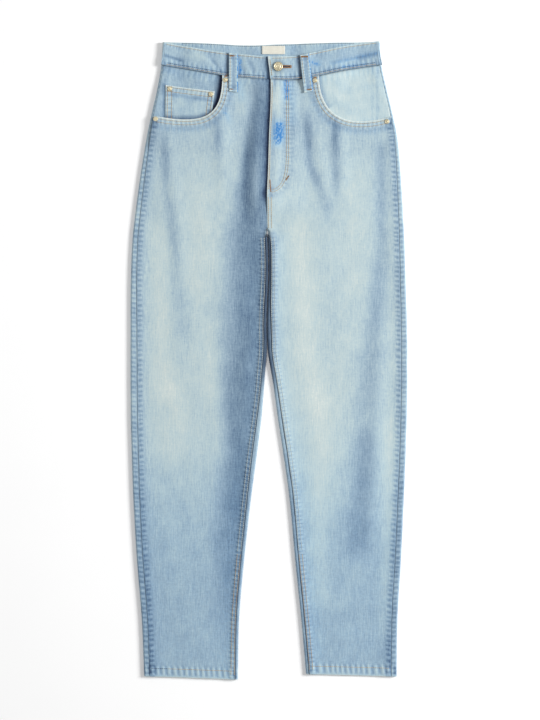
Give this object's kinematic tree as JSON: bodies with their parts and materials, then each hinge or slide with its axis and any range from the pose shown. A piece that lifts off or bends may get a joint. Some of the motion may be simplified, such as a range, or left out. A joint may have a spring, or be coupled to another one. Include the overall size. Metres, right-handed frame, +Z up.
{
  "type": "relaxed fit jeans laid flat",
  "caption": "High-waisted light blue denim jeans with curved front pockets and a coin pocket, closed at fly and button and laid flat on their back.",
  "frame": {"origin": "middle of the footprint on the surface that the jeans lie on", "axes": "+Z up, away from the surface; +Y towards the waist; +X towards the wearer's left side, which is the picture's right"},
  "size_m": [0.4709, 1.0856, 0.0131],
  "materials": {
    "denim": "light blue washed denim, matt, with pale fades",
    "pale_gold_metal": "pale gold, satin",
    "steel": "satin",
    "zip_tape": "woven tape, matt",
    "woven_label": "plain woven label, matt"
  },
  "bodies": {
    "root": {"back_right": "denim", "back_left": "denim", "yoke_right": "denim", "yoke_left": "denim", "front_right": "denim", "front_left": "denim", "facing_right": "denim", "facing_left": "denim", "coin_pocket": "denim", "back_pocket_right": "denim", "back_pocket_left": "denim", "fly_shield": "denim", "zip": "zip_tape", "zip_slider": "steel", "waistband": "denim", "loop_front_right": "denim", "loop_front_left": "denim", "loop_back_right": "denim", "loop_back_centre": "denim", "loop_back_left": "denim", "button": "pale_gold_metal", "rivet_mouth_right_waist": "pale_gold_metal", "rivet_mouth_right_side": "pale_gold_metal", "rivet_coin_outer": "pale_gold_metal", "rivet_coin_inner": "pale_gold_metal", "rivet_mouth_left_waist": "pale_gold_metal", "rivet_mouth_left_side": "pale_gold_metal", "label": "woven_label"}
  },
  "joints": []
}
